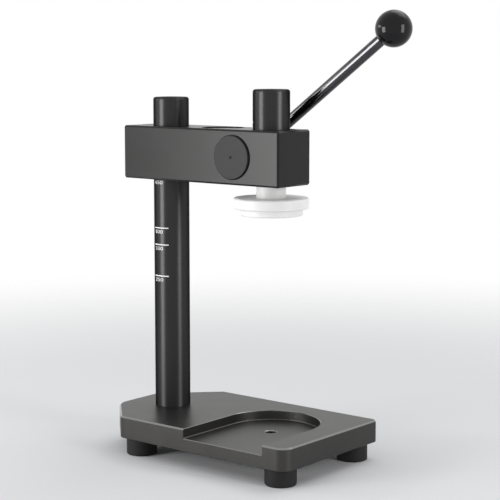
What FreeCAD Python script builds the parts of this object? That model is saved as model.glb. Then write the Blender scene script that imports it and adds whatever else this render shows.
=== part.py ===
import FreeCAD, Part
import math
import os

# Hand-lever can seamer.  A round column stands on a base plate with an open can
# pocket.  A head block slides on the column and guides a vertical ram.  A lever
# turns a pinion that drives a rack cut in the ram, and a plastic press head on the
# ram presses the lid on the can.
# Millimetres.  Z is up and the front is -Y.  The origin is where the ram axis
# meets the floor of the can pocket.

os.makedirs("parts", exist_ok=True)

# ---------------------------------------------------------------- fits
run_fit = 0.05             # radial play of sliding and turning pairs
seat_fit = 0.02            # radial play of pieces seated for good
screw_fit = 0.05           # radial play of a screw in its tapped hole
bolt_clearance = 0.25      # radial play of a screw in a plain hole
face_gap = 0.1             # end play beside a turning face
thread_spare = 2.0         # tapped depth beyond the screw end

# Socket screws: shank radius, head radius, head height, socket width.
m5_screw = (2.5, 4.25, 5.0, 4.0)
m6_screw = (3.0, 5.0, 6.0, 5.0)
m8_screw = (4.0, 6.5, 8.0, 6.0)
button_screw = (2.5, 4.6, 2.8, 3.0)
head_room = 0.6            # depth of a screw head below the surface
head_pocket_play = 0.6     # radial room round a screw head

# ---------------------------------------------------------------- base plate
column_to_ram = 107.5
plate_thick = 18.5
plate_behind_column = 37.5
plate_beyond_ram = 63.0
plate_half_depth = 62.5
front_cut = 35.0           # 45 degree corner cut, front left
rear_cut = 42.0            # 45 degree corner cut, rear left
front_cut_round = 9.0      # roundings where a corner cut meets a side
front_cut_round_left = 20.0
rear_cut_round = 4.0
rear_cut_round_left = 14.0
front_corner_round = 10.0  # roundings of the two right corners
rear_corner_round = 4.0
plate_chamfer = 1.2
pocket_chamfer = 0.4
plate_bottom_chamfer = 0.5
pocket_radius = 40.5
pocket_depth = 8.0
pocket_fillet = 0.8
fixture_hole_radius = 4.5
fixture_hole_chamfer = 0.8

# ---------------------------------------------------------------- feet
foot_height = 14.2
foot_radius = 12.65
foot_edge = 0.8
foot_inset_left = 45.3
foot_inset_rear_left = 48.5
foot_inset_right = 15.4
foot_inset_side = 14.7
foot_recess_radius = 5.8
foot_recess_depth = 7.0
foot_screw_depth = 10.0    # screw length inside the plate
foot_washer_radius = 5.4
foot_washer_thick = 1.0

# ---------------------------------------------------------------- column
column_radius = 15.0
column_height = 263.0      # above the plate
column_seat = 4.0          # depth of the column in the plate
bar_round = 2.2            # rounded top edge of column and ram
bar_chamfer = 0.5
column_screw_length = 27.0
column_washer_radius = 6.9
column_washer_thick = 1.2

# ---------------------------------------------------------------- head block
column_above_head = 24.0   # column showing above the block at rest
block_height = 44.5
block_wall = 6.0           # wall beside the bores
block_nose = 8.5           # wall beyond the ram bore
clamp_lug = 20.5           # block length beyond the column bore
block_chamfer = 1.5
bore_chamfer = 0.6
recess_from_column = 57.0  # shallow round recess in the top face
recess_radius = 17.5
recess_depth = 1.0
slit_width = 2.5
clamp_from_bore = 10.5
clamp_spread = 22.0        # height between the two clamp screws
clamp_length = 30.0

# ---------------------------------------------------------------- rack and pinion
module = 1.5
teeth = 16
pressure_angle = math.radians(20.0)
backlash = 0.14            # play at the pitch line
rack_sink = 3.5            # rack pitch line below the ram surface
rack_addendum = 0.9 * module
dedendum = 1.25 * module
gear_tip_relief = 0.1
gear_room = 0.6            # radial room round the gear

# ---------------------------------------------------------------- ram
ram_radius = 15.0
ram_rise = 32.0            # ram above the block at rest
ram_sink = 1.5             # lower ram end above the block underside at rest
ram_stroke_down = 18.85
ram_stroke_up = 1.9
keyway_width = 4.2
keyway_depth = 2.6

# ---------------------------------------------------------------- press head
neck_radius = 12.0
neck_length = 11.6
spigot_radius = 8.0
spigot_height = 4.0
flange_radius = 30.5
flange_thick = 8.5
step_radius = 25.5
step_thick = 5.6
press_head_edge = 0.8
head_screw_length = 30.0
head_bore_depth = 10.2
head_washer_radius = 6.9
head_washer_thick = 1.2

# ---------------------------------------------------------------- pinion shaft and bearings
journal_radius = 8.0
bush_room = 0.5            # inner bush face clear of the ram
flange_bush_radius = 17.0
flange_bush_thick = 1.0
gear_end_room = 2.1        # gear face to inner bush face
gear_chamfer = 0.7
cap_radius = 18.0
cap_proud = 1.8
cap_seat = 3.0             # depth of the cap in the front face
cap_play = 0.15
cap_edge = 0.8
cap_stub_radius = 5.0
cap_stub_length = 3.2
centre_mark_radius = 1.2

# ---------------------------------------------------------------- lever
lever_angle = 36.2         # rod above the horizontal at rest
rod_offset = 11.8          # rod axis above the pinion axis, across the rod
rod_radius = 4.75
rod_thread_radius = 4.0
rod_inner_end = 1.0        # rod end beyond the pinion axis
rod_tip_radius = 3.0       # thread in the ball
rod_chamfer = 0.5
hub_radius = 22.0
hub_thick = 18.0
hub_edge = 1.0
hub_flat = 11.0            # milled flat for the lock nut, from the pinion axis
hub_bore_radius = 6.0
key_width = 4.0
key_length = 12.0
key_fit = 0.03
hub_screw_length = 14.0
hub_washer_radius = 8.5
hub_washer_thick = 1.6
nut_width = 13.0
nut_thick = 6.0
nut_room = 0.9
ball_radius = 14.5
ball_distance = 155.6      # pinion axis to ball centre, along the rod
ball_face_radius = 5.6
insert_radius = 5.0
insert_length = 14.0

# ---------------------------------------------------------------- guide and drag screws
guide_rise = 9.0           # guide screw above the block underside
drag_drop = 8.0            # drag screw below the block top
set_screw_socket = 3.0
set_screw_sink = 0.5
dog_radius = 2.0
dog_room = 0.3
drag_plug_radius = 2.9
drag_plug_length = 2.4

# ---------------------------------------------------------------- places
ram_x = 0.0
pocket_floor = 0.0
column_x = ram_x - column_to_ram
plate_top = pocket_floor + pocket_depth
plate_bottom = plate_top - plate_thick
table_z = plate_bottom - foot_height
plate_left = column_x - plate_behind_column
plate_right = ram_x + plate_beyond_ram

column_top = plate_top + column_height
block_top = column_top - column_above_head
block_bottom = block_top - block_height
block_left = column_x - column_radius - clamp_lug
block_right = ram_x + ram_radius + block_nose
block_half_depth = max(column_radius, ram_radius) + block_wall
ram_bottom = block_bottom + ram_sink
ram_top = block_top + ram_rise

pitch_radius = module * teeth / 2.0
gear_tip_radius = pitch_radius + module - gear_tip_relief
gear_root_radius = pitch_radius - dedendum
base_radius = pitch_radius * math.cos(pressure_angle)
rack_line = ram_radius - rack_sink
pinion_centre = rack_line + pitch_radius
pinion_x = ram_x - pinion_centre
pinion_z = (block_bottom + block_top) / 2.0

bush_radius = gear_tip_radius + gear_room
bush_to_ram = pinion_centre - bush_radius
bush_inner = math.sqrt((ram_radius + run_fit) ** 2 - bush_to_ram ** 2) + bush_room
gear_half_face = bush_inner - gear_end_room
collar_radius = gear_root_radius - gear_room
cap_floor = -block_half_depth + cap_seat
cap_back = cap_floor - face_gap
cap_front = -block_half_depth - cap_proud
rear_face = block_half_depth + flange_bush_thick
hub_front = rear_face + face_gap
hub_rear = hub_front + hub_thick

X = FreeCAD.Vector(1, 0, 0)
Y = FreeCAD.Vector(0, 1, 0)
Z = FreeCAD.Vector(0, 0, 1)


# ---------------------------------------------------------------- helpers
def vec(x, y, z):
    return FreeCAD.Vector(x, y, z)


def box(x0, x1, y0, y1, z0, z1):
    return Part.makeBox(x1 - x0, y1 - y0, z1 - z0, vec(x0, y0, z0))


def post(x, y, z0, z1, radius):
    """Upright cylinder."""
    return Part.makeCylinder(radius, z1 - z0, vec(x, y, z0), Z)


def spindle(x, z, y0, y1, radius):
    """Cylinder along Y."""
    return Part.makeCylinder(radius, y1 - y0, vec(x, y0, z), Y)


def bar(y, z, x0, x1, radius):
    """Cylinder along X."""
    return Part.makeCylinder(radius, x1 - x0, vec(x0, y, z), X)


def aim(shape, origin, direction):
    """Turn a shape built along +Z to a direction and move it to a point."""
    shape.Placement = FreeCAD.Placement(origin, FreeCAD.Rotation(Z, direction))
    return shape


def prism(points, direction):
    """Extrude a closed polygon."""
    wire = Part.makePolygon(points + [points[0]])
    return Part.Face(wire).extrude(direction)


def near(a, b):
    return abs(a - b) < 0.01


def edges_where(shape, test):
    """Edges whose middle point passes a test."""
    chosen = []
    for edge in shape.Edges:
        middle = edge.valueAt((edge.FirstParameter + edge.LastParameter) / 2.0)
        if test(middle):
            chosen.append(edge)
    return chosen


def round_edges(shape, axis, levels):
    """Round edges centred on given levels of one axis."""
    chosen = []
    for edge in shape.Edges:
        if hasattr(edge.Curve, "Radius"):
            centre = getattr(edge.Curve.Center, axis)
            if any(near(centre, level) for level in levels):
                chosen.append(edge)
    return chosen


def bevel(shape, size, axis, *levels):
    return shape.makeChamfer(size, round_edges(shape, axis, levels))


def save(name, shape):
    shape.exportStep("parts/" + name + ".step")


def hexagon(width, height):
    """Hexagon prism on +Z, width across flats."""
    corner = width / math.sqrt(3.0)
    points = []
    for k in range(6):
        turn = math.radians(60.0 * k + 30.0)
        points.append(vec(corner * math.cos(turn), corner * math.sin(turn), 0))
    return prism(points, vec(0, 0, height))


def socket_screw(kind, length):
    """Shank down -Z from the head face, head on +Z."""
    radius, head_radius, head_height, socket = kind
    head = bevel(Part.makeCylinder(head_radius, head_height), 0.4, "z", head_height)
    shank = Part.makeCylinder(radius, length, vec(0, 0, -length))
    shank = bevel(shank, 0.5, "z", -length)
    hole = hexagon(socket, head_height * 0.55)
    hole.translate(vec(0, 0, head_height * 0.45))
    return head.fuse(shank).cut(hole)


def washer(inner, outer, thick):
    """Flat washer on +Z."""
    return Part.makeCylinder(outer, thick).cut(Part.makeCylinder(inner, thick))


def corner_arc(before, corner, after, radius):
    """Start, middle and end of the arc that rounds one corner."""
    to_before = (before - corner).normalize()
    to_after = (after - corner).normalize()
    half = to_before.getAngle(to_after) / 2.0
    reach = radius / math.tan(half)
    inward = (to_before + to_after).normalize()
    middle = corner + inward * (radius / math.sin(half) - radius)
    return corner + to_before * reach, middle, corner + to_after * reach


def rounded_plate(corners, z, height):
    """Extrude a polygon given as (x, y, corner radius)."""
    points = [vec(x, y, z) for x, y, radius in corners]
    count = len(points)
    arcs = []
    for k in range(count):
        after = points[(k + 1) % count]
        arcs.append(corner_arc(points[k - 1], points[k], after, corners[k][2]))
    edges = []
    for k in range(count):
        start, middle, end = arcs[k]
        edges.append(Part.Arc(start, middle, end).toShape())
        edges.append(Part.makeLine(end, arcs[(k + 1) % count][0]))
    return Part.Face(Part.Wire(edges)).extrude(vec(0, 0, height))


# ================================================================ base plate
foot_places = {
    "foot_front_left": (plate_left + foot_inset_left, -plate_half_depth + foot_inset_side),
    "foot_front_right": (plate_right - foot_inset_right, -plate_half_depth + foot_inset_side),
    "foot_rear_left": (
        plate_left + foot_inset_rear_left, plate_half_depth - foot_inset_side
    ),
    "foot_rear_right": (plate_right - foot_inset_right, plate_half_depth - foot_inset_side),
}

plate_corners = [
    (plate_left + front_cut, -plate_half_depth, front_cut_round),
    (plate_right, -plate_half_depth, front_corner_round),
    (plate_right, plate_half_depth, rear_corner_round),
    (plate_left + rear_cut, plate_half_depth, rear_cut_round),
    (plate_left, plate_half_depth - rear_cut, rear_cut_round_left),
    (plate_left, -plate_half_depth + front_cut, front_cut_round_left),
]
plate = rounded_plate(plate_corners, plate_bottom, plate_thick)
lower_rim = edges_where(plate, lambda p: near(p.z, plate_bottom))
plate = plate.makeChamfer(plate_bottom_chamfer, lower_rim)
upper_rim = edges_where(plate, lambda p: near(p.z, plate_top))
plate = plate.makeChamfer(plate_chamfer, upper_rim)

# can pocket, open to the front
past_front = -plate_half_depth - 5.0
past_top = plate_top + 1.0
pocket = post(ram_x, 0, pocket_floor, past_top, pocket_radius)
pocket_mouth = box(
    ram_x - pocket_radius, ram_x + pocket_radius, past_front, 0, pocket_floor, past_top
)
pocket = pocket.fuse(pocket_mouth).removeSplitter()
floor_rim = edges_where(pocket, lambda p: near(p.z, pocket_floor) and p.y > past_front + 1.0)
plate = plate.cut(pocket.makeFillet(pocket_fillet, floor_rim))


def on_pocket_rim(p):
    """Upper edge of the pocket and the edge of its mouth."""
    within = abs(p.x - ram_x) < pocket_radius + 0.01
    at_rim = near(p.z, plate_top) and within and p.y < pocket_radius + 0.01
    at_mouth = near(p.y, -plate_half_depth) and within and p.z > pocket_floor - 0.01
    return at_rim or at_mouth


plate = plate.makeChamfer(pocket_chamfer, edges_where(plate, on_pocket_rim))

# column seat, and the screw pocket beneath it
seat_floor = plate_top - column_seat
column_bolt_ceiling = plate_bottom + head_room + m8_screw[2] + column_washer_thick
plate = plate.cut(post(column_x, 0, seat_floor, past_top, column_radius + seat_fit))
pocket_wide = column_washer_radius + head_pocket_play
plate = plate.cut(post(column_x, 0, plate_bottom, column_bolt_ceiling, pocket_wide))
plate = plate.cut(
    post(column_x, 0, column_bolt_ceiling, seat_floor, m8_screw[0] + bolt_clearance)
)

# fixture hole under the ram
plate = plate.cut(post(ram_x, 0, plate_bottom, pocket_floor, fixture_hole_radius))
flare = Part.makeCone(
    fixture_hole_radius,
    fixture_hole_radius + fixture_hole_chamfer,
    fixture_hole_chamfer,
    vec(ram_x, 0, pocket_floor - fixture_hole_chamfer),
    Z,
)
plate = plate.cut(flare)

for x, y in foot_places.values():
    tapped_top = plate_bottom + foot_screw_depth + thread_spare / 2.0
    plate = plate.cut(post(x, y, plate_bottom, tapped_top, button_screw[0] + screw_fit))
save("base_plate", plate)

# ================================================================ feet
foot_ceiling = table_z + foot_recess_depth
foot_head_face = foot_ceiling - foot_washer_thick
foot_hole = button_screw[0] + bolt_clearance
foot_screw_length = plate_bottom + foot_screw_depth - foot_head_face
foot_washers = []
foot_screws = []
for name, (x, y) in foot_places.items():
    foot = post(x, y, table_z, plate_bottom, foot_radius)
    foot = bevel(foot, foot_edge, "z", table_z)
    foot = foot.cut(post(x, y, table_z, foot_ceiling, foot_recess_radius))
    foot = foot.cut(post(x, y, foot_ceiling, plate_bottom, foot_hole))
    save(name, foot)
    ring = washer(foot_hole, foot_washer_radius, foot_washer_thick)
    foot_washers.append(aim(ring, vec(x, y, foot_head_face), Z))
    screw = socket_screw(button_screw, foot_screw_length)
    foot_screws.append(aim(screw, vec(x, y, foot_head_face), -Z))
save("foot_washers", Part.makeCompound(foot_washers))
save("foot_screws", Part.makeCompound(foot_screws))

# ================================================================ column
column = post(column_x, 0, seat_floor, column_top, column_radius)
column = column.makeFillet(bar_round, round_edges(column, "z", [column_top]))
column = bevel(column, bar_chamfer, "z", seat_floor)
bolt_face = column_bolt_ceiling - column_washer_thick
column_thread_top = bolt_face + column_screw_length + thread_spare
column = column.cut(
    post(column_x, 0, seat_floor, column_thread_top, m8_screw[0] + screw_fit)
)
save("column", column)

bolt = socket_screw(m8_screw, column_screw_length)
save("column_bolt", aim(bolt, vec(column_x, 0, bolt_face), -Z))
ring = washer(m8_screw[0] + bolt_clearance, column_washer_radius, column_washer_thick)
save("column_washer", aim(ring, vec(column_x, 0, bolt_face), Z))

# ================================================================ head block
block = box(
    block_left, block_right, -block_half_depth, block_half_depth, block_bottom, block_top
)
block = block.makeChamfer(block_chamfer, block.Edges)
block = block.cut(post(column_x, 0, block_bottom, block_top, column_radius + run_fit))
block = block.cut(post(ram_x, 0, block_bottom, block_top, ram_radius + run_fit))
block = bevel(block, bore_chamfer, "z", block_bottom, block_top)
recess_x = column_x + recess_from_column
block = block.cut(post(recess_x, 0, block_top - recess_depth, block_top, recess_radius))

# clamp: slit at the column end, closed by two screws from the rear
slit_half = slit_width / 2.0
block = block.cut(box(block_left, column_x, -slit_half, slit_half, block_bottom, block_top))
clamp_x = column_x - column_radius - clamp_from_bore
clamp_seat = block_half_depth - m6_screw[2] - head_room
clamp_end = clamp_seat - clamp_length
clamp_screws = []
for side in (-0.5, 0.5):
    z = pinion_z + side * clamp_spread
    head_pocket = spindle(
        clamp_x, z, clamp_seat, block_half_depth, m6_screw[1] + head_pocket_play
    )
    block = block.cut(head_pocket)
    block = block.cut(spindle(clamp_x, z, 0, clamp_seat, m6_screw[0] + bolt_clearance))
    block = block.cut(spindle(clamp_x, z, clamp_end - thread_spare, 0, m6_screw[0] + screw_fit))
    screw = socket_screw(m6_screw, clamp_length)
    clamp_screws.append(aim(screw, vec(clamp_x, clamp_seat, z), Y))
save("clamp_screws", Part.makeCompound(clamp_screws))

# pinion bore, cap seat, and the two set screw holes behind the ram
guide_z = block_bottom + guide_rise
drag_z = block_top - drag_drop
set_screw_radius = m6_screw[0]
block = block.cut(
    spindle(pinion_x, pinion_z, cap_floor, block_half_depth, bush_radius + seat_fit)
)
block = block.cut(
    spindle(pinion_x, pinion_z, -block_half_depth, cap_floor, cap_radius + cap_play)
)
for z in (guide_z, drag_z):
    block = block.cut(spindle(ram_x, z, 0, block_half_depth, set_screw_radius + screw_fit))
save("head_block", block)

# ================================================================ bushes
front_bush = spindle(pinion_x, pinion_z, cap_floor, -bush_inner, bush_radius)
front_hole = spindle(pinion_x, pinion_z, cap_floor, -bush_inner, journal_radius + run_fit)
save("front_bush", front_bush.cut(front_hole))

rear_bush = spindle(pinion_x, pinion_z, bush_inner, rear_face, bush_radius)
bush_flange = spindle(pinion_x, pinion_z, block_half_depth, rear_face, flange_bush_radius)
rear_hole = spindle(pinion_x, pinion_z, bush_inner, rear_face, journal_radius + run_fit)
save("rear_bush", rear_bush.fuse(bush_flange).cut(rear_hole))


# ================================================================ ram
def gear_reach(depth):
    """Half height of the gear at a depth towards the ram, with some room."""
    offset = pinion_centre - depth
    return math.sqrt(gear_tip_radius ** 2 - offset ** 2) + gear_room


def rack_slot(z):
    """Space between two rack teeth, open to the pinion."""
    root = rack_line - dedendum
    outer = ram_radius + 1.0
    slant = math.tan(pressure_angle)
    line_half = math.pi * module / 4.0 + backlash / 4.0
    root_half = line_half - dedendum * slant
    outer_half = line_half + (outer - rack_line) * slant
    profile = [
        vec(ram_x - root, -ram_radius, z - root_half),
        vec(ram_x - root, -ram_radius, z + root_half),
        vec(ram_x - outer, -ram_radius, z + outer_half),
        vec(ram_x - outer, -ram_radius, z - outer_half),
    ]
    return prism(profile, vec(0, 2 * ram_radius, 0))


ram = post(ram_x, 0, ram_bottom, ram_top, ram_radius)
ram = ram.makeFillet(bar_round, round_edges(ram, "z", [ram_top]))
ram = bevel(ram, bar_chamfer, "z", ram_bottom)

# rack on the side of the pinion, one slot level with it at rest
rack_tip = rack_line + rack_addendum
flat_reach = gear_reach(ram_radius)
slot_reach = gear_reach(rack_tip)
flat = box(
    ram_x - ram_radius,
    ram_x - rack_tip,
    -ram_radius,
    ram_radius,
    pinion_z - ram_stroke_up - flat_reach,
    pinion_z + ram_stroke_down + flat_reach,
)
ram = ram.cut(flat)
pitch = math.pi * module
lowest_slot = -math.ceil((ram_stroke_up + slot_reach) / pitch)
highest_slot = math.ceil((ram_stroke_down + slot_reach) / pitch)
for k in range(lowest_slot, highest_slot + 1):
    ram = ram.cut(rack_slot(pinion_z + k * pitch))

# keyway for the guide screw, its ends stop the stroke
keyway_low = guide_z - ram_stroke_up - dog_radius - dog_room
keyway_high = guide_z + ram_stroke_down + dog_radius + dog_room
key_half = keyway_width / 2.0
keyway_floor = ram_radius - keyway_depth
keyway = box(
    ram_x - key_half,
    ram_x + key_half,
    keyway_floor,
    ram_radius,
    keyway_low + key_half,
    keyway_high - key_half,
)
for z in (keyway_low + key_half, keyway_high - key_half):
    keyway = keyway.fuse(spindle(ram_x, z, keyway_floor, ram_radius, key_half))
ram = ram.cut(keyway)

# socket and tapped hole for the press head
head_ceiling = ram_bottom - neck_length - flange_thick - step_thick + head_bore_depth
head_bolt_face = head_ceiling - head_washer_thick
ram_thread_top = head_bolt_face + head_screw_length + thread_spare
spigot_hole = post(
    ram_x, 0, ram_bottom, ram_bottom + spigot_height + face_gap, spigot_radius + seat_fit
)
ram = ram.cut(spigot_hole)
ram = ram.cut(post(ram_x, 0, ram_bottom, ram_thread_top, m8_screw[0] + screw_fit))
save("ram", ram)

# ================================================================ press head
flange_top = ram_bottom - neck_length
flange_bottom = flange_top - flange_thick
step_bottom = flange_bottom - step_thick
flange = post(ram_x, 0, flange_bottom, flange_top, flange_radius)
flange = bevel(flange, press_head_edge, "z", flange_bottom, flange_top)
step = post(ram_x, 0, step_bottom, flange_bottom, step_radius)
step = bevel(step, press_head_edge, "z", step_bottom)
press_head = flange.fuse(step)
press_head = press_head.fuse(post(ram_x, 0, flange_top, ram_bottom, neck_radius))
spigot = post(ram_x, 0, ram_bottom, ram_bottom + spigot_height, spigot_radius)
press_head = press_head.fuse(spigot)
head_pocket = post(ram_x, 0, step_bottom, head_ceiling, head_washer_radius + head_pocket_play)
press_head = press_head.cut(head_pocket)
head_hole = post(
    ram_x, 0, head_ceiling, ram_bottom + spigot_height, m8_screw[0] + bolt_clearance
)
save("press_head", press_head.cut(head_hole))

screw = socket_screw(m8_screw, head_screw_length)
save("press_head_screw", aim(screw, vec(ram_x, 0, head_bolt_face), -Z))
ring = washer(m8_screw[0] + bolt_clearance, head_washer_radius, head_washer_thick)
save("press_head_washer", aim(ring, vec(ram_x, 0, head_bolt_face), Z))


# ================================================================ guide and drag screws
def set_screw(z, inner, socket_depth):
    """Headless screw in the rear face, its socket outward."""
    outer = block_half_depth - set_screw_sink
    body = spindle(ram_x, z, inner, outer, set_screw_radius)
    socket = aim(hexagon(set_screw_socket, socket_depth), vec(ram_x, outer, z), -Y)
    return body.cut(socket)


guide_shoulder = ram_radius + 2 * dog_room
guide = set_screw(guide_z, guide_shoulder, 3.0)
dog = spindle(ram_x, guide_z, keyway_floor + dog_room, guide_shoulder, dog_radius)
save("ram_guide_screw", guide.fuse(dog))

plug_inner = ram_radius + run_fit
plug_outer = plug_inner + drag_plug_length
save("drag_plug", spindle(ram_x, drag_z, plug_inner, plug_outer, drag_plug_radius))
save("drag_screw", set_screw(drag_z, plug_outer, 2.0))


# ================================================================ pinion shaft
def involute_angle(radius):
    """Polar angle of the involute at a radius."""
    slope = math.acos(min(1.0, base_radius / radius))
    return math.tan(slope) - slope


def gear_point(radius, angle):
    x = pinion_x + radius * math.cos(angle)
    z = pinion_z + radius * math.sin(angle)
    return vec(x, -gear_half_face, z)


def flank(centre, side, radii):
    """Involute flank of one tooth, side -1 or +1."""
    tooth_thick = math.pi * module / 2.0 - backlash / 2.0
    foot = tooth_thick / (2.0 * pitch_radius) + involute_angle(pitch_radius)
    return [gear_point(r, centre + side * (foot - involute_angle(r))) for r in radii]


def spline(points):
    curve = Part.BSplineCurve()
    curve.interpolate(points)
    return curve.toShape()


def gear_outline():
    """Closed outline: involute flanks with round tips and roots."""
    steps = 4
    span = gear_tip_radius - base_radius
    radii = [base_radius + span * k / steps for k in range(steps + 1)]
    turn = 2.0 * math.pi / teeth
    edges = []
    for k in range(teeth):
        centre = k * turn
        rising = flank(centre, -1, radii)
        falling = flank(centre, 1, radii[::-1])
        root_in = flank(centre, -1, [gear_root_radius])[0]
        root_out = flank(centre, 1, [gear_root_radius])[0]
        next_root = flank(centre + turn, -1, [gear_root_radius])[0]
        tip_middle = gear_point(gear_tip_radius, centre)
        root_middle = gear_point(gear_root_radius, centre + turn / 2.0)
        edges.append(Part.makeLine(root_in, rising[0]))
        edges.append(spline(rising))
        edges.append(Part.Arc(rising[-1], tip_middle, falling[0]).toShape())
        edges.append(spline(falling))
        edges.append(Part.makeLine(falling[-1], root_out))
        edges.append(Part.Arc(root_out, root_middle, next_root).toShape())
    return Part.Face(Part.Wire(edges))


def raised(shape):
    """Turn a shape built along +X about the pinion axis to the lever angle."""
    shape.rotate(vec(pinion_x, 0, pinion_z), Y, -lever_angle)
    return shape


gear = gear_outline().extrude(vec(0, 2 * gear_half_face, 0))
gear_envelope = spindle(
    pinion_x, pinion_z, -gear_half_face, gear_half_face, gear_tip_radius + 0.01
)
gear_envelope = bevel(gear_envelope, gear_chamfer, "y", -gear_half_face, gear_half_face)
shaft = gear.common(gear_envelope)
collar_end = bush_inner - face_gap
shaft_end = hub_rear - 2 * face_gap
shaft = shaft.fuse(spindle(pinion_x, pinion_z, -collar_end, collar_end, collar_radius))
shaft = shaft.fuse(spindle(pinion_x, pinion_z, cap_back, hub_front, journal_radius))
stub_end = cap_back - cap_stub_length
shaft = shaft.fuse(spindle(pinion_x, pinion_z, stub_end, cap_back, cap_stub_radius))
shaft = shaft.fuse(spindle(pinion_x, pinion_z, hub_front, shaft_end, hub_bore_radius))

key_start = hub_front + (hub_thick - key_length) / 2.0
key_half_width = key_width / 2.0
key_level = pinion_z - hub_bore_radius


def key_block(play, rear_end, top):
    """Key under the shaft, before it is raised to the lever angle."""
    half = key_half_width + play
    low = key_level - half
    return box(pinion_x - half, pinion_x + half, key_start - play, rear_end + play, low, top)


key_end = key_start + key_length
key_top = key_level + key_half_width
shaft_keyway = key_block(key_fit, key_end, key_top + key_fit)
shaft = shaft.cut(raised(shaft_keyway))
shaft_hole_end = hub_rear + hub_washer_thick - hub_screw_length - thread_spare
shaft = shaft.cut(
    spindle(pinion_x, pinion_z, shaft_hole_end, shaft_end, m5_screw[0] + screw_fit)
)
save("pinion_shaft", shaft)
save("hub_key", raised(key_block(0.0, key_end, key_top)))

# front cap, pressed on the stub of the shaft
cap = spindle(pinion_x, pinion_z, cap_front, cap_back, cap_radius)
cap = bevel(cap, cap_edge, "y", cap_front)
cap = cap.cut(
    spindle(pinion_x, pinion_z, stub_end - face_gap, cap_back, cap_stub_radius + seat_fit)
)
centre_mark = Part.makeCone(
    centre_mark_radius, 0.0, centre_mark_radius / 2.0, vec(pinion_x, cap_front, pinion_z), Y
)
save("pinion_cap", cap.cut(centre_mark))

# ================================================================ lever hub
rod_y = hub_front + hub_thick / 2.0
rod_z = pinion_z + rod_offset
flat_x = pinion_x + hub_flat
hub = spindle(pinion_x, pinion_z, hub_front, hub_rear, hub_radius)
hub = bevel(hub, hub_edge, "y", hub_front, hub_rear)
nut_corner = nut_width / math.sqrt(3.0)
nut_flat = box(
    flat_x,
    pinion_x + hub_radius,
    hub_front,
    hub_rear,
    rod_z - nut_corner - nut_room,
    pinion_z + hub_radius,
)
hub = hub.cut(nut_flat)
socket_end = pinion_x + rod_inner_end - 2 * face_gap
hub = hub.cut(bar(rod_y, rod_z, socket_end, flat_x, rod_thread_radius + screw_fit))
hub = hub.cut(spindle(pinion_x, pinion_z, hub_front, hub_rear, hub_bore_radius + seat_fit))
hub = hub.cut(key_block(key_fit, hub_rear, pinion_z))
save("lever_hub", raised(hub))

ring = washer(m5_screw[0] + bolt_clearance, hub_washer_radius, hub_washer_thick)
save("hub_washer", aim(ring, vec(pinion_x, hub_rear, pinion_z), Y))
screw = socket_screw(m5_screw, hub_screw_length)
save("hub_screw", aim(screw, vec(pinion_x, hub_rear + hub_washer_thick, pinion_z), Y))

# ================================================================ lever rod and ball
ball_x = pinion_x + ball_distance
ball_face = ball_x - math.sqrt(ball_radius ** 2 - ball_face_radius ** 2)
rod_shoulder = flat_x + nut_thick
rod_end = ball_face + insert_length - 1.0
rod = bar(rod_y, rod_z, rod_shoulder, ball_face, rod_radius)
rod = bevel(rod, rod_chamfer, "x", rod_shoulder, ball_face)
rod = rod.fuse(bar(rod_y, rod_z, pinion_x + rod_inner_end, rod_shoulder, rod_thread_radius))
rod = rod.fuse(bar(rod_y, rod_z, ball_face, rod_end, rod_tip_radius))
save("lever_rod", raised(rod))

nut = aim(hexagon(nut_width, nut_thick), vec(flat_x, rod_y, rod_z), X)
nut = nut.cut(bar(rod_y, rod_z, flat_x, rod_shoulder, rod_thread_radius + screw_fit))
save("rod_nut", raised(nut))

ball = Part.makeSphere(ball_radius, vec(ball_x, rod_y, rod_z), X)
ball_cut = box(
    ball_x - ball_radius,
    ball_face,
    rod_y - ball_radius,
    rod_y + ball_radius,
    rod_z - ball_radius,
    rod_z + ball_radius,
)
ball = ball.cut(ball_cut)
insert_hole = bar(
    rod_y, rod_z, ball_face, ball_face + insert_length + face_gap, insert_radius + seat_fit
)
save("ball_knob", raised(ball.cut(insert_hole)))
insert = bar(rod_y, rod_z, ball_face, ball_face + insert_length, insert_radius)
tip_hole = bar(rod_y, rod_z, ball_face, rod_end + face_gap, rod_tip_radius + screw_fit)
save("ball_insert", raised(insert.cut(tip_hole)))
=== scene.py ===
import math

import bmesh
import bpy
from mathutils import Euler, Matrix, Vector

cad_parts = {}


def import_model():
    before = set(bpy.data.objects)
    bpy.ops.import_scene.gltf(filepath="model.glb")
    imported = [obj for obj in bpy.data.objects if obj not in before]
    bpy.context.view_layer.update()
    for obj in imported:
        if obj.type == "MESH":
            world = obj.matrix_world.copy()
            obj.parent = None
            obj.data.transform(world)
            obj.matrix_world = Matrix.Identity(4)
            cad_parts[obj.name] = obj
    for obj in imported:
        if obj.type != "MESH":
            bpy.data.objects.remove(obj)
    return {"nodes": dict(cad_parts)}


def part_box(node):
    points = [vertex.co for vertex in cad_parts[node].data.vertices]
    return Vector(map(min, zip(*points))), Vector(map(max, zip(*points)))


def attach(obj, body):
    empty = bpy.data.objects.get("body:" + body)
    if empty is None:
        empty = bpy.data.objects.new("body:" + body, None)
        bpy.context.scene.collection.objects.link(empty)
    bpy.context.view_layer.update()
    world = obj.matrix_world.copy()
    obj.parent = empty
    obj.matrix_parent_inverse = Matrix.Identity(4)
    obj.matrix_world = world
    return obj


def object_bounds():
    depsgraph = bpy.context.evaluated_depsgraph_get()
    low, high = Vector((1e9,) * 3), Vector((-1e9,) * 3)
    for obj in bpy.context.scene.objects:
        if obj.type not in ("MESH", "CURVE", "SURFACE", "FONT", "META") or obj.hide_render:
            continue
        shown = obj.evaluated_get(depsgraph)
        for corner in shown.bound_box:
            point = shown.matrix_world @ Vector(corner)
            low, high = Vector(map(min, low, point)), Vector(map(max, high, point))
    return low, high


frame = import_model()
cad_low, cad_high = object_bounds()
NODES = frame["nodes"]
TABLE = cad_low.z


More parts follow.
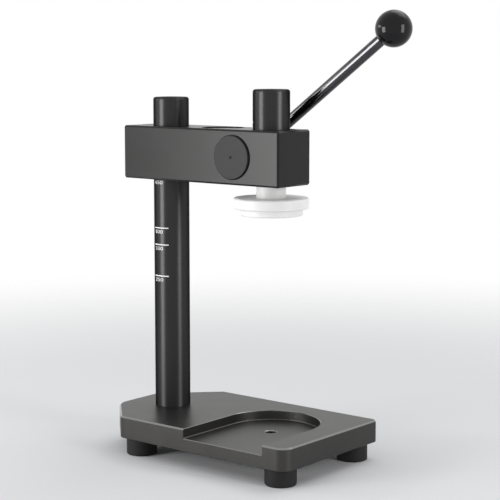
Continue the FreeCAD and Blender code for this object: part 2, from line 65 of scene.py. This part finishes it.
# ------------------------------------------------------------------ places
def middle(node):
    """Middle of a node's box at rest."""
    low, high = (Vector(corner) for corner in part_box(node))
    return (low + high) / 2


block_mid = middle("head_block")
cap_mid = middle("pinion_cap")
column_mid = middle("column")
column_low, column_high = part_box("column")
COLUMN_RADIUS = (column_high[1] - column_low[1]) / 2


# ------------------------------------------------------------------ node helpers
class Graph:
    """A material's node tree, with short ways to add nodes."""

    def __init__(self, name):
        self.material = bpy.data.materials.new(name)
        self.material.use_nodes = True
        self.tree = self.material.node_tree
        self.tree.nodes.clear()
        self.output = self.tree.nodes.new("ShaderNodeOutputMaterial")
        self.coords = None

    def add(self, kind, **settings):
        node = self.tree.nodes.new(kind)
        for key, value in settings.items():
            setattr(node, key, value)
        return node

    def link(self, source, target):
        self.tree.links.new(source, target)

    def object_coords(self):
        if self.coords is None:
            self.coords = self.add("ShaderNodeTexCoord").outputs["Object"]
        return self.coords

    def principled(self, **values):
        node = self.add("ShaderNodeBsdfPrincipled")
        for key, value in values.items():
            node.inputs[key.replace("_", " ")].default_value = value
        self.link(node.outputs["BSDF"], self.output.inputs["Surface"])
        return node

    def mapped(self, scale, at=(0.0, 0.0, 0.0)):
        node = self.add("ShaderNodeMapping")
        node.inputs["Location"].default_value = at
        node.inputs["Scale"].default_value = scale
        self.link(self.object_coords(), node.inputs["Vector"])
        return node.outputs["Vector"]

    def noise(self, vector, scale, detail=3.0, roughness=0.5):
        node = self.add("ShaderNodeTexNoise")
        node.inputs["Scale"].default_value = scale
        node.inputs["Detail"].default_value = detail
        node.inputs["Roughness"].default_value = roughness
        self.link(vector, node.inputs["Vector"])
        return node.outputs["Fac"]

    def remap(self, value, low, high, from_low=0.0, from_high=1.0):
        node = self.add("ShaderNodeMapRange")
        for key, number in (("From Min", from_low), ("From Max", from_high),
                            ("To Min", low), ("To Max", high)):
            node.inputs[key].default_value = number
        self.link(value, node.inputs["Value"])
        return node.outputs["Result"]

    def math(self, operation, first, second=None):
        node = self.add("ShaderNodeMath", operation=operation)
        for slot, value in enumerate((first, second)):
            if value is None:
                continue
            if isinstance(value, (int, float)):
                node.inputs[slot].default_value = value
            else:
                self.link(value, node.inputs[slot])
        return node.outputs["Value"]

    def tint(self, factor, dark, light):
        node = self.add("ShaderNodeMix", data_type="RGBA")
        node.inputs["A"].default_value = (*dark, 1.0)
        node.inputs["B"].default_value = (*light, 1.0)
        self.link(factor, node.inputs["Factor"])
        return node.outputs["Result"]

    def blend(self, factor, first, second):
        node = self.add("ShaderNodeMix", data_type="RGBA")
        self.link(first, node.inputs["A"])
        self.link(second, node.inputs["B"])
        self.link(factor, node.inputs["Factor"])
        return node.outputs["Result"]

    def sloping(self):
        """1 on faces that rise at 45 degrees, 0 on flat and upright ones."""
        split = self.add("ShaderNodeSeparateXYZ")
        self.link(self.add("ShaderNodeNewGeometry").outputs["Normal"], split.inputs[0])
        off = self.math("ABSOLUTE", self.math("SUBTRACT", split.outputs["Z"], math.sqrt(0.5)))
        return self.remap(off, 1.0, 0.0, 0.02, 0.12)

    def bump(self, shader, height, strength, distance):
        node = self.add("ShaderNodeBump")
        node.inputs["Strength"].default_value = strength
        node.inputs["Distance"].default_value = distance
        self.link(height, node.inputs["Height"])
        self.link(node.outputs["Normal"], shader.inputs["Normal"])

    def radius(self, centre, axis):
        """Distance from an axis-parallel line."""
        split = self.add("ShaderNodeSeparateXYZ")
        self.link(self.object_coords(), split.inputs[0])
        parts = []
        for letter, middle in zip("XYZ", centre):
            if letter != axis:
                away = self.math("SUBTRACT", split.outputs[letter], middle)
                parts.append(self.math("MULTIPLY", away, away))
        return self.math("SQRT", self.math("ADD", parts[0], parts[1]))


# ------------------------------------------------------------------ materials
def anodised(name, dark, light, rough, painted_chamfer_highlight=None):
    """Bead-blasted aluminium with a black anodised skin. Chamfers milled after blasting stay smooth. Faces
    rising at 45 degrees can also get a lighter colour, a painted highlight on the upper chamfers.
    """
    graph = Graph(name)
    shader = graph.principled(Metallic=0.9, IOR=1.5)
    cloud = graph.noise(graph.mapped((1, 1, 1)), 38.0, 4.0, 0.6)
    grain = graph.noise(graph.mapped((1, 1, 1)), 2600.0, 2.0)
    tone = graph.math("ADD", graph.math("MULTIPLY", cloud, 0.45), graph.math("MULTIPLY", grain, 0.55))
    colour = graph.tint(tone, dark, light)
    roughness = graph.remap(cloud, rough - 0.03, rough + 0.04)
    if painted_chamfer_highlight:
        # painted highlight: faces rising at 45 degrees (the upper chamfers) get a lighter colour; the lower
        # roughness there is the smooth milled finish
        chamfer_highlight_mask = graph.sloping()
        colour = graph.blend(chamfer_highlight_mask, colour, graph.tint(tone, painted_chamfer_highlight, painted_chamfer_highlight))
        roughness = graph.math("SUBTRACT", roughness, graph.math("MULTIPLY", chamfer_highlight_mask, rough - 0.16))
    graph.link(colour, shader.inputs["Base Color"])
    graph.link(roughness, shader.inputs["Roughness"])
    graph.bump(shader, grain, 0.10, 0.00006)
    return graph.material


def turned(name, dark, light, rough, centre, axis, pitch, metallic=0.8):
    """Face turned on a lathe: fine rings round a centre."""
    graph = Graph(name)
    shader = graph.principled(Metallic=metallic, IOR=1.6)
    ring = graph.math("SINE", graph.math("MULTIPLY", graph.radius(centre, axis), 2 * math.pi / pitch))
    grain = graph.noise(graph.mapped((1, 1, 1)), 1800.0, 2.0)
    tone = graph.math("ADD", graph.math("MULTIPLY", ring, 0.3), grain)
    graph.link(graph.tint(tone, dark, light), shader.inputs["Base Color"])
    graph.link(graph.remap(grain, rough - 0.03, rough + 0.05), shader.inputs["Roughness"])
    graph.bump(shader, ring, 0.16, 0.00006)
    return graph.material


def ground_bar(name, dark, light, rough):
    """Black oxide bar, ground along its length."""
    graph = Graph(name)
    shader = graph.principled(Metallic=0.95, IOR=1.4, Specular_Tint=(0.35, 0.35, 0.35, 1.0),
                              Anisotropic=0.8, Anisotropic_Rotation=0.25)
    tangent = graph.add("ShaderNodeTangent", direction_type="RADIAL", axis="Z")
    graph.link(tangent.outputs["Tangent"], shader.inputs["Tangent"])
    streak = graph.noise(graph.mapped((900, 900, 14)), 1.0, 3.0)
    cloud = graph.noise(graph.mapped((1, 1, 0.4)), 60.0, 3.0)
    tone = graph.math("ADD", graph.math("MULTIPLY", streak, 0.6), graph.math("MULTIPLY", cloud, 0.4))
    graph.link(graph.tint(tone, dark, light), shader.inputs["Base Color"])
    graph.link(graph.remap(cloud, rough - 0.03, rough + 0.04), shader.inputs["Roughness"])
    graph.bump(shader, streak, 0.03, 0.00004)
    return graph.material


def brushed(name, dark, light, rough, stretch, metallic=1.0):
    """Bare or plated metal with fine lines."""
    graph = Graph(name)
    shader = graph.principled(Metallic=metallic)
    lines = graph.noise(graph.mapped(stretch), 1.0, 3.0)
    graph.link(graph.tint(lines, dark, light), shader.inputs["Base Color"])
    graph.link(graph.remap(lines, rough - 0.03, rough + 0.05), shader.inputs["Roughness"])
    graph.bump(shader, lines, 0.05, 0.00004)
    return graph.material


def plastic(name, dark, light, rough, grain_scale, depth, shine=0.5, soft=0.0):
    """Moulded or turned plastic."""
    graph = Graph(name)
    shader = graph.principled(IOR=1.49, Specular_IOR_Level=shine, Subsurface_Weight=soft)
    if soft:
        shader.inputs["Subsurface Radius"].default_value = (1.0, 1.0, 1.0)
        shader.inputs["Subsurface Scale"].default_value = 0.006
    cloud = graph.noise(graph.mapped((1, 1, 1)), 45.0, 3.0)
    grain = graph.noise(graph.mapped((1, 1, 1)), grain_scale, 3.0)
    graph.link(graph.tint(cloud, dark, light), shader.inputs["Base Color"])
    graph.link(graph.remap(grain, rough - 0.03, rough + 0.05), shader.inputs["Roughness"])
    graph.bump(shader, grain, depth, 0.00008)
    return graph.material


# the plate's last colour (0.24 grey) is a painted highlight on its upper chamfers
PLATE = anodised("plate_anodised", (0.045, 0.044, 0.0425), (0.067, 0.0655, 0.063), 0.38, (0.24, 0.24, 0.24))
BLOCK = anodised("block_anodised", (0.017, 0.017, 0.017), (0.027, 0.027, 0.0265), 0.31)
CAP = turned("cap_turned", (0.009, 0.009, 0.009), (0.017, 0.017, 0.017), 0.44, cap_mid, "Y", 0.0009)
HUB = turned("hub_turned", (0.022, 0.022, 0.022), (0.034, 0.034, 0.034), 0.36, cap_mid, "Y", 0.0008)
BAR = ground_bar("bar_black_oxide", (0.034, 0.034, 0.035), (0.048, 0.048, 0.049), 0.38)
ROD = brushed("rod_black_polished", (0.060, 0.060, 0.063), (0.090, 0.090, 0.093), 0.10, (260, 260, 260))
STEEL = brushed("machined_steel", (0.42, 0.42, 0.42), (0.56, 0.56, 0.56), 0.26, (900, 900, 900))
DARK_STEEL = brushed("screw_black_oxide", (0.045, 0.045, 0.048), (0.07, 0.07, 0.072), 0.30,
                     (900, 900, 900), 0.9)
BRONZE = brushed("bearing_bronze", (0.48, 0.31, 0.14), (0.60, 0.41, 0.20), 0.28, (700, 700, 700))
WHITE = plastic("white_plastic", (0.72, 0.72, 0.715), (0.77, 0.77, 0.765), 0.42, 900.0, 0.06, soft=0.5)
KNOB = plastic("knob_plastic", (0.006, 0.006, 0.007), (0.009, 0.009, 0.010), 0.07, 500.0, 0.01, shine=0.2)
RUBBER = plastic("foot_rubber", (0.008, 0.008, 0.008), (0.016, 0.016, 0.016), 0.66, 1400.0, 0.25, shine=0.25)

DRESS = {
    PLATE: ("base_plate",),
    BLOCK: ("head_block",),
    CAP: ("pinion_cap",),
    HUB: ("lever_hub",),
    BAR: ("column", "ram"),
    ROD: ("lever_rod",),
    STEEL: ("foot_washers", "foot_screws", "column_washer", "pinion_shaft", "hub_key",
            "hub_washer", "rod_nut", "press_head_washer"),
    DARK_STEEL: ("column_bolt", "clamp_screws", "ram_guide_screw", "drag_screw", "hub_screw",
                 "press_head_screw"),
    BRONZE: ("front_bush", "rear_bush", "ball_insert"),
    WHITE: ("press_head", "drag_plug"),
    KNOB: ("ball_knob",),
    RUBBER: ("foot_front_left", "foot_front_right", "foot_rear_left", "foot_rear_right"),
}
for material, names in DRESS.items():
    for name in names:
        mesh = NODES[name].data
        mesh.materials.clear()
        mesh.materials.append(material)


# ------------------------------------------------------------------ height marks on the column
def ink():
    graph = Graph("white_ink")
    shader = graph.principled(Roughness=0.55)
    speck = graph.noise(graph.mapped((1, 1, 1)), 5200.0, 2.0)
    graph.link(graph.tint(speck, (0.62, 0.62, 0.62), (0.86, 0.86, 0.86)), shader.inputs["Base Color"])
    return graph.material


INK = ink()
INK_PROUD = 0.00003


def mesh_piece(name, vertices, faces, material, body):
    mesh = bpy.data.meshes.new(name)
    mesh.from_pydata(vertices, [], faces)
    mesh.update()
    piece = bpy.data.objects.new(name, mesh)
    bpy.context.scene.collection.objects.link(piece)
    mesh.materials.append(material)
    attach(piece, body)
    return piece


def on_column(angle, height, proud):
    reach = COLUMN_RADIUS + proud
    return Vector((column_mid.x + reach * math.cos(angle), column_mid.y + reach * math.sin(angle), height))


def mark_line(name, height, thick, start, end):
    """Thin printed line wrapped on the column."""
    steps = 24
    vertices, faces = [], []
    for step in range(steps + 1):
        angle = start + (end - start) * step / steps
        for level in (height - thick / 2, height + thick / 2):
            vertices.append(on_column(angle, level, INK_PROUD))
    for step in range(steps):
        a = 2 * step
        faces.append((a, a + 2, a + 3, a + 1))
    return mesh_piece(name, vertices, faces, INK, "base")


def mark_number(name, words, height, size, start):
    """Plain number wrapped on the column, its top left corner at an angle and a height."""
    curve = bpy.data.curves.new(name + "_text", "FONT")
    curve.body = words
    curve.size = size
    curve.align_x, curve.align_y = "LEFT", "TOP"
    writer = bpy.data.objects.new(name + "_text", curve)
    bpy.context.scene.collection.objects.link(writer)
    bpy.context.view_layer.update()
    flat = bpy.data.meshes.new_from_object(writer.evaluated_get(bpy.context.evaluated_depsgraph_get()))
    bpy.data.objects.remove(writer)
    bpy.data.curves.remove(curve)
    bm = bmesh.new()
    bm.from_mesh(flat)
    bmesh.ops.triangulate(bm, faces=bm.faces[:])
    bmesh.ops.subdivide_edges(bm, edges=bm.edges[:], cuts=1)
    vertices = []
    for vertex in bm.verts:
        angle = start + 1.5 * vertex.co.x / COLUMN_RADIUS
        vertices.append(on_column(angle, height + vertex.co.y, INK_PROUD))
    faces = [[v.index for v in face.verts] for face in bm.faces]
    bm.free()
    bpy.data.meshes.remove(flat)
    return mesh_piece(name, vertices, faces, INK, "base")


MARKS = (("650", 0.2030), ("500", 0.1614), ("330", 0.1472), ("250", 0.1206))
for words, height in MARKS:
    mark_line("mark_line_" + words, height, 0.0009, math.radians(-118), math.radians(-59))
    mark_number("mark_number_" + words, words, height - 0.0013, 0.0042, math.radians(-114))


# ------------------------------------------------------------------ floor
def floor_material():
    graph = Graph("floor_pale")
    diffuse = graph.add("ShaderNodeBsdfDiffuse")
    cloud = graph.noise(graph.mapped((1, 1, 1)), 3.0, 2.0)
    graph.link(graph.tint(cloud, (0.77, 0.775, 0.79), (0.80, 0.805, 0.82)), diffuse.inputs["Color"])
    clear = graph.add("ShaderNodeBsdfTransparent")
    mix = graph.add("ShaderNodeMixShader")
    away = graph.radius((0.0, 0.0, 0.0), "Z")
    fade = graph.add("ShaderNodeMapRange", interpolation_type="SMOOTHSTEP")
    fade.inputs["From Min"].default_value = 0.35
    fade.inputs["From Max"].default_value = 1.1
    graph.link(away, fade.inputs["Value"])
    graph.link(fade.outputs["Result"], mix.inputs["Fac"])
    graph.link(diffuse.outputs["BSDF"], mix.inputs[1])
    graph.link(clear.outputs["BSDF"], mix.inputs[2])
    graph.link(mix.outputs["Shader"], graph.output.inputs["Surface"])
    return graph.material


def floor_disc(radius, height):
    bm = bmesh.new()
    bmesh.ops.create_circle(bm, cap_ends=True, segments=96, radius=radius)
    mesh = bpy.data.meshes.new("floor")
    bm.to_mesh(mesh)
    bm.free()
    mesh.materials.append(floor_material())
    piece = bpy.data.objects.new("floor", mesh)
    piece.location.z = height
    bpy.context.scene.collection.objects.link(piece)


floor_disc(1.15, TABLE)


# ------------------------------------------------------------------ light
def softbox(name, azimuth, elevation, distance, width, height, power, aim_at):
    """Area lamp round the object. Azimuth is the compass angle of the lamp in the XY plane."""
    a, e = math.radians(azimuth), math.radians(elevation)
    towards = Vector((math.cos(a) * math.cos(e), math.sin(a) * math.cos(e), math.sin(e)))
    data = bpy.data.lights.new(name, "AREA")
    data.shape = "RECTANGLE"
    data.size, data.size_y = width, height
    data.energy = power
    lamp = bpy.data.objects.new(name, data)
    lamp.location = aim_at + towards * distance
    lamp.rotation_euler = towards.to_track_quat("Z", "Y").to_euler()
    lamp.visible_camera = False
    bpy.context.scene.collection.objects.link(lamp)
    return lamp


CENTRE = Vector((block_mid.x, 0.0, 0.15))
softbox("key", -116, 1, 1.3, 0.55, 0.68, 13.5, CENTRE)
softbox("side", 2, 6, 1.4, 0.42, 0.95, 10.0, CENTRE)
softbox("strip", -153, 18, 1.3, 0.60, 0.20, 2.6, CENTRE)
softbox("top", 80, 58, 1.4, 1.1, 0.8, 5.0, CENTRE)


def world():
    """White studio: a soft light that is strongest behind on the left, seen as plain white."""
    scene_world = bpy.data.worlds.new("studio")
    bpy.context.scene.world = scene_world
    scene_world.use_nodes = True
    tree = scene_world.node_tree
    tree.nodes.clear()
    output = tree.nodes.new("ShaderNodeOutputWorld")
    coords = tree.nodes.new("ShaderNodeTexCoord")
    dot = tree.nodes.new("ShaderNodeVectorMath")
    dot.operation = "DOT_PRODUCT"
    dot.inputs[1].default_value = Vector((-0.85, 0.45, 0.25)).normalized()
    tree.links.new(coords.outputs["Generated"], dot.inputs[0])
    ramp = tree.nodes.new("ShaderNodeMapRange")
    ramp.interpolation_type = "SMOOTHSTEP"
    for key, number in (("From Min", -0.6), ("From Max", 1.0), ("To Min", 0.32), ("To Max", 0.75)):
        ramp.inputs[key].default_value = number
    tree.links.new(dot.outputs["Value"], ramp.inputs["Value"])
    light = tree.nodes.new("ShaderNodeBackground")
    tree.links.new(ramp.outputs["Result"], light.inputs["Strength"])
    white = tree.nodes.new("ShaderNodeBackground")
    for background in (light, white):
        background.inputs["Color"].default_value = (1.0, 1.0, 1.0, 1.0)
    paths = tree.nodes.new("ShaderNodeLightPath")
    seen = paths.outputs["Is Camera Ray"]
    for ray in ("Is Glossy Ray", "Is Transmission Ray"):
        either = tree.nodes.new("ShaderNodeMath")
        either.operation = "MAXIMUM"
        tree.links.new(seen, either.inputs[0])
        tree.links.new(paths.outputs[ray], either.inputs[1])
        seen = either.outputs["Value"]
    mix = tree.nodes.new("ShaderNodeMixShader")
    tree.links.new(seen, mix.inputs["Fac"])
    tree.links.new(light.outputs["Background"], mix.inputs[1])
    tree.links.new(white.outputs["Background"], mix.inputs[2])
    tree.links.new(mix.outputs["Shader"], output.inputs["Surface"])


world()

# ------------------------------------------------------------------ camera
camera_data = bpy.data.cameras.new("camera")
camera_data.sensor_width = 36.0
camera_data.lens = 109.1
camera_data.clip_start, camera_data.clip_end = 0.05, 20.0
camera = bpy.data.objects.new("camera", camera_data)
camera.location = (0.75136, -0.95053, 0.30843)
camera.rotation_euler = Euler((math.radians(90 - 7.45), 0.0, math.radians(39.13)))
bpy.context.scene.collection.objects.link(camera)
bpy.context.scene.camera = camera

bpy.context.scene.view_settings.view_transform = "Standard"
